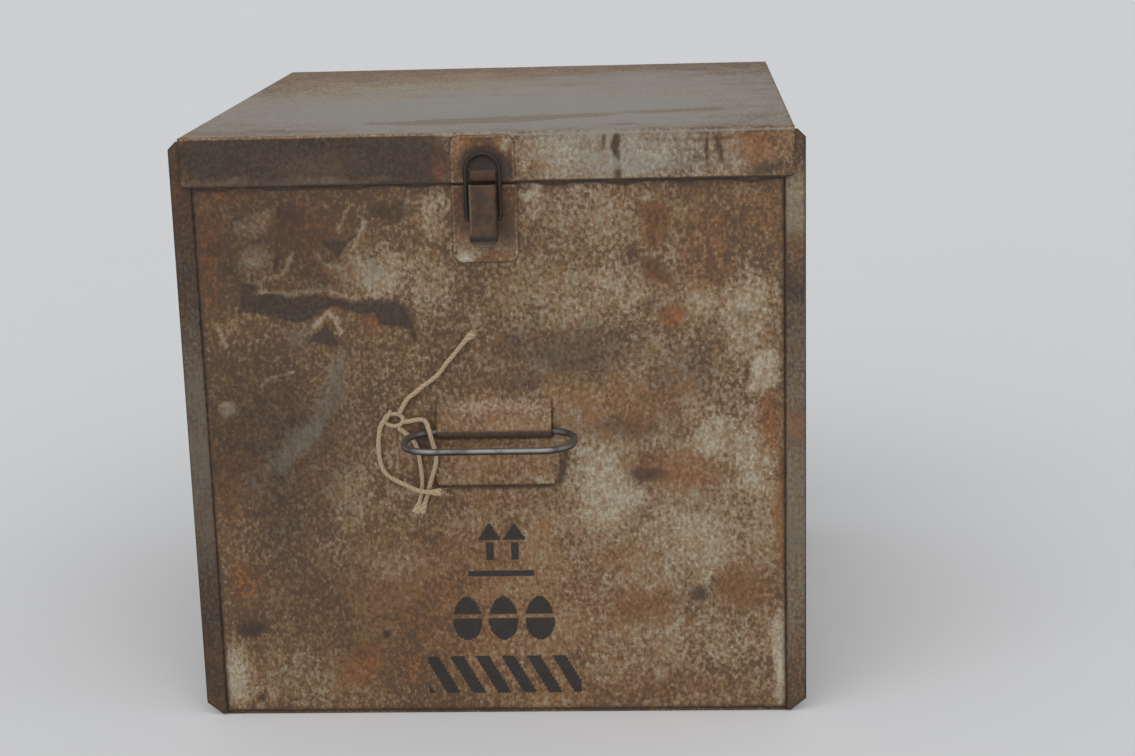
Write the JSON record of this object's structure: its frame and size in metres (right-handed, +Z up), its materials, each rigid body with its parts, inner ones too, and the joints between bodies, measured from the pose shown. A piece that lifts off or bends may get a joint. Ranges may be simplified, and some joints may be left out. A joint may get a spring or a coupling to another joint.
{
  "type": "egg carrier crate",
  "caption": "Sheet-metal egg carrier: a square box with a hinged lid, toggle latch, drop wire handles and card egg fillers inside.",
  "frame": {"origin": "middle of the base, on the floor", "axes": "+Z up, +X to the right seen from the front, +Y to the back; the latch and the shown handle are on the -Y face"},
  "size_m": [0.318, 0.4148, 0.3089],
  "materials": {
    "galvanised_sheet": "old galvanised sheet with rust",
    "rusted_steel": "dark rusted steel",
    "galvanised_wire": "bright galvanised wire",
    "twine": "twisted natural fibre",
    "card": "plain brown card"
  },
  "bodies": {
    "crate": {"left_side_panel": "galvanised_sheet", "right_side_panel": "galvanised_sheet", "front_panel": "galvanised_sheet", "back_panel": "galvanised_sheet", "bottom_panel": "galvanised_sheet", "left_hinge_body_leaf": "rusted_steel", "left_hinge_pin": "rusted_steel", "right_hinge_body_leaf": "rusted_steel", "right_hinge_pin": "rusted_steel", "hinge_body_rivets": "rusted_steel", "latch_base_plate": "rusted_steel", "latch_base_rivets": "rusted_steel", "latch_lever_pin": "rusted_steel", "twine_upper_tail": "twine", "twine_lower_tail": "twine", "twine_front_strand": "twine", "twine_back_strand": "twine", "twine_knot": "twine", "flat_1": "card", "filler_1_long_strips": "card", "filler_1_cross_strips": "card", "flat_2": "card", "filler_2_long_strips": "card", "filler_2_cross_strips": "card", "flat_3": "card", "filler_3_long_strips": "card", "filler_3_cross_strips": "card", "flat_4": "card", "filler_4_long_strips": "card", "filler_4_cross_strips": "card"},
    "lid": {"lid_panel": "galvanised_sheet", "left_hinge_lid_leaf": "rusted_steel", "right_hinge_lid_leaf": "rusted_steel", "hinge_lid_rivets": "rusted_steel", "latch_strike_plate": "rusted_steel"},
    "latch_lever": {"latch_lever": "rusted_steel"},
    "latch_bail": {"latch_bail": "rusted_steel"},
    "front_handle": {"front_handle": "galvanised_wire"},
    "back_handle": {"back_handle": "galvanised_wire"}
  },
  "joints": [
    {"name": "lid_open", "type": "hinge", "parent": "crate", "child": "lid", "pos_m": [0, 0.16695, 0.2942], "axis": [-1, 0, 0], "range_deg": [0, 180]},
    {"name": "latch_lever_lift", "type": "hinge", "parent": "crate", "child": "latch_lever", "pos_m": [-0.001, -0.1718, 0.2796], "axis": [-1, 0, 0], "range_deg": [0, 140]},
    {"name": "latch_bail_swing", "type": "hinge", "parent": "latch_lever", "child": "latch_bail", "pos_m": [-0.001, -0.1715, 0.266], "axis": [-1, 0, 0], "range_deg": [-175, 0]},
    {"name": "front_handle_swing", "type": "hinge", "parent": "crate", "child": "front_handle", "pos_m": [-0.001, -0.1676, 0.1555], "axis": [-1, 0, 0], "range_deg": [-75, 75]},
    {"name": "back_handle_swing", "type": "hinge", "parent": "crate", "child": "back_handle", "pos_m": [0.001, 0.1676, 0.1555], "axis": [1, 0, 0], "range_deg": [-75, 75]}
  ],
  "couplings": [
    {"joint": "latch_bail_swing", "follows": "latch_lever_lift", "ratio": -1.25}
  ]
}
